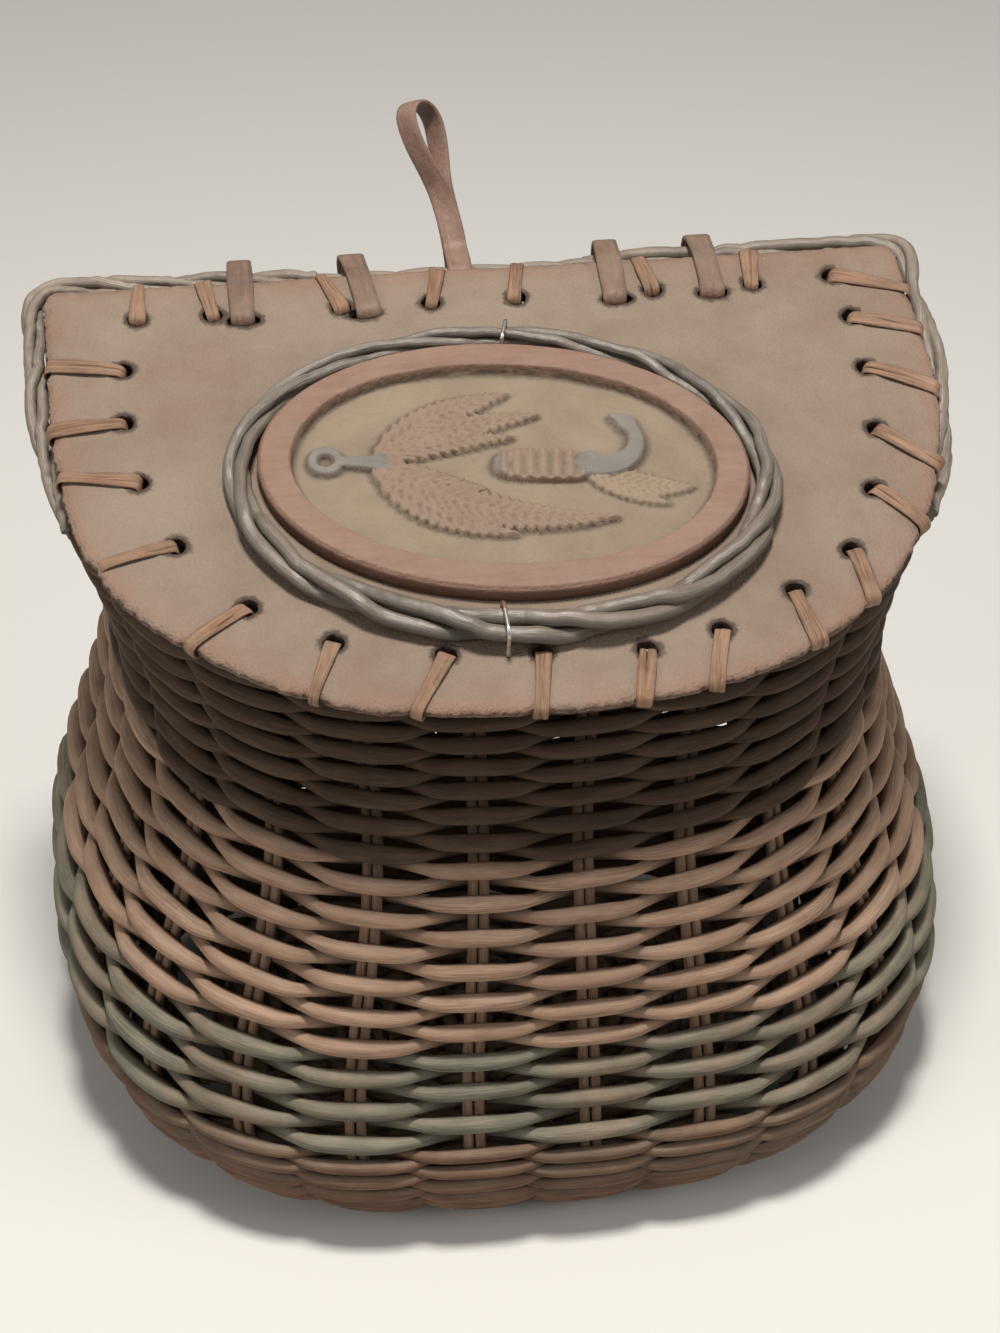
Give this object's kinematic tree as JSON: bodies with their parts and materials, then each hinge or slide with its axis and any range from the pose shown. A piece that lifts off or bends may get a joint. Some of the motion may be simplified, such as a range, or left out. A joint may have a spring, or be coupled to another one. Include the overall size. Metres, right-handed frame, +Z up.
{
  "type": "wicker fishing creel",
  "caption": "Pot-bellied wicker creel with a flat back, a sloping leather lid laced with cane on leather strap hinges, a carved oval medallion and a leather hanging loop.",
  "frame": {"origin": "middle of the foot, on the surface that the creel stands on", "axes": "+X to the creel's right seen from its bowed front, +Y to its flat back, +Z up"},
  "size_m": [0.284, 0.2055, 0.2829],
  "materials": {
    "brown_rods": "dusty painted wicker",
    "reddish_rods": "dusty painted wicker",
    "green_rods": "dusty painted wicker",
    "dark_rods": "dusty painted wicker",
    "grey_rods": "weathered wicker",
    "hide": "thick dusty hide with a rough cut edge",
    "strap_leather": "dry brown leather",
    "cane": "split cane",
    "carved_wood": "carved and stained",
    "staple_wire": "dull wire"
  },
  "bodies": {
    "basket": {"woven_base": "brown_rods", "foot_courses": "reddish_rods", "green_courses": "green_rods", "brown_courses": "brown_rods", "neck_courses": "dark_rods", "rim_hoop": "grey_rods"},
    "lid": {"lid_panel": "hide", "lacing_back": "cane", "lacing_right": "cane", "lacing_front": "cane", "lacing_left": "cane", "hinge_strap_1": "strap_leather", "hinge_strap_2": "strap_leather", "hinge_strap_3": "strap_leather", "hinge_strap_4": "strap_leather", "medallion": "carved_wood", "wicker_ring": "grey_rods", "staples": "staple_wire"},
    "loop": {"hanging_loop": "strap_leather"}
  },
  "joints": [
    {"name": "lid_hinge", "type": "hinge", "parent": "basket", "child": "lid", "pos_m": [0, 0.077, 0.241], "axis": [-1, 0, 0], "range_deg": [0, 90]},
    {"name": "loop_swing", "type": "hinge", "parent": "basket", "child": "loop", "pos_m": [-0.0045, 0.077, 0.241], "axis": [-1, 0, 0], "range_deg": [0, 75]}
  ]
}
